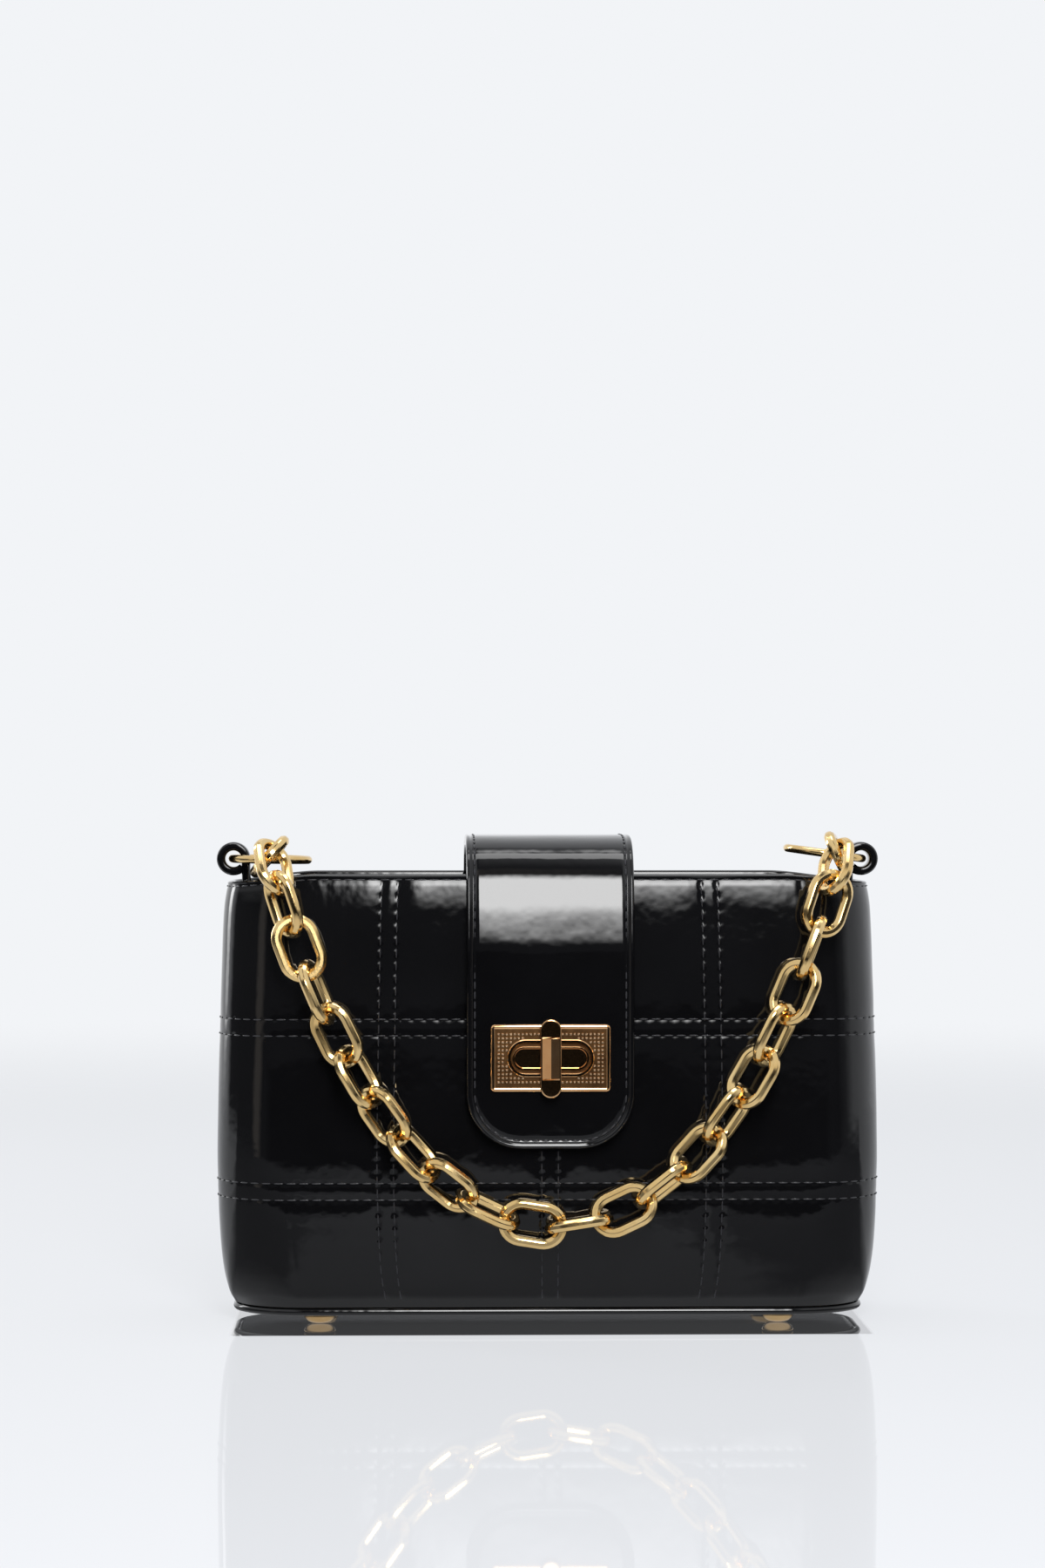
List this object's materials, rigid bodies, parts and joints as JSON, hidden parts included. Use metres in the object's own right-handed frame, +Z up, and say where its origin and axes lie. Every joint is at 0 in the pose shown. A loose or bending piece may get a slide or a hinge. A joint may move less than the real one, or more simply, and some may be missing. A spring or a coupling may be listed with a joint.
{
  "type": "chain shoulder bag",
  "caption": "Structured quilted patent shoulder bag with a metal chain strap on side rings and a tab closed by a turn lock.",
  "frame": {"origin": "on the floor plane, under the middle of the base between the feet", "axes": "+X to the right seen from the front, +Y from the front to the back, +Z up"},
  "size_m": [0.2448, 0.1044, 0.1801],
  "materials": {
    "patent_leather": "mirror gloss",
    "facing_leather": "satin",
    "lining_cloth": "matte",
    "board": "matte",
    "chain_metal": "polished",
    "lock_metal": "polished",
    "foot_metal": "polished"
  },
  "bodies": {
    "bag": {"front_panel": "patent_leather", "back_panel": "patent_leather", "front_stiffener": "board", "back_stiffener": "board", "base_panel": "patent_leather", "base_board": "board", "base_piping": "patent_leather", "foot_front_left": "foot_metal", "foot_front_right": "foot_metal", "foot_back_left": "foot_metal", "foot_back_right": "foot_metal", "foot_washers": "foot_metal", "lining": "lining_cloth", "top_facing": "facing_leather", "inner_pocket": "lining_cloth", "tab_anchor": "patent_leather", "tab_rear_bend": "patent_leather", "lock_base": "lock_metal", "ring_loop_left": "patent_leather", "ring_loop_right": "patent_leather", "ring_left": "chain_metal", "ring_right": "chain_metal"},
    "tab_over": {"tab_top": "patent_leather", "tab_top_lining": "facing_leather"},
    "tab_hanging": {"tab_front_bend": "patent_leather", "tab_front": "patent_leather", "tab_front_board": "board", "tab_front_lining": "facing_leather", "lock_plate": "lock_metal", "lock_back_plate": "lock_metal", "lock_boss": "lock_metal", "knob_post": "lock_metal"},
    "knob": {"turn_knob": "lock_metal"},
    "strap_ends": {"strap_end_left": "chain_metal", "strap_end_right": "chain_metal", "chain_link_01": "chain_metal", "chain_link_22": "chain_metal"},
    "strap_chain": {"chain_link_02": "chain_metal", "chain_link_03": "chain_metal", "chain_link_04": "chain_metal", "chain_link_05": "chain_metal", "chain_link_06": "chain_metal", "chain_link_07": "chain_metal", "chain_link_08": "chain_metal", "chain_link_09": "chain_metal", "chain_link_10": "chain_metal", "chain_link_11": "chain_metal", "chain_link_12": "chain_metal", "chain_link_13": "chain_metal", "chain_link_14": "chain_metal", "chain_link_15": "chain_metal", "chain_link_16": "chain_metal", "chain_link_17": "chain_metal", "chain_link_18": "chain_metal", "chain_link_19": "chain_metal", "chain_link_20": "chain_metal", "chain_link_21": "chain_metal"}
  },
  "joints": [
    {"name": "tab_rear_fold", "type": "hinge", "parent": "bag", "child": "tab_over", "pos_m": [0, 0.039, 0.169], "axis": [-1, 0, 0], "range_deg": [0, 180], "deforming": ["tab_rear_bend"]},
    {"name": "tab_front_fold", "type": "hinge", "parent": "tab_over", "child": "tab_hanging", "pos_m": [0, -0.039, 0.169], "axis": [-1, 0, 0], "range_deg": [0, 90], "deforming": ["tab_front_bend"]},
    {"name": "knob_turn", "type": "hinge", "parent": "tab_hanging", "child": "knob", "pos_m": [0, -0.048, 0.098], "axis": [0, 1, 0], "range_deg": [0, 90]},
    {"name": "strap_ends_swing", "type": "hinge", "parent": "bag", "child": "strap_ends", "pos_m": [0.0018, -0.02531, 0.17036], "axis": [-1, 0.0052, -0.0075], "range_deg": [0, 110]},
    {"name": "strap_chain_swing", "type": "hinge", "parent": "strap_ends", "child": "strap_chain", "pos_m": [0.0018, -0.0476, 0.1621], "axis": [-1, 0, 0], "range_deg": [0, 66]}
  ],
  "couplings": [
    {"joint": "strap_chain_swing", "follows": "strap_ends_swing", "ratio": 0.6}
  ]
}
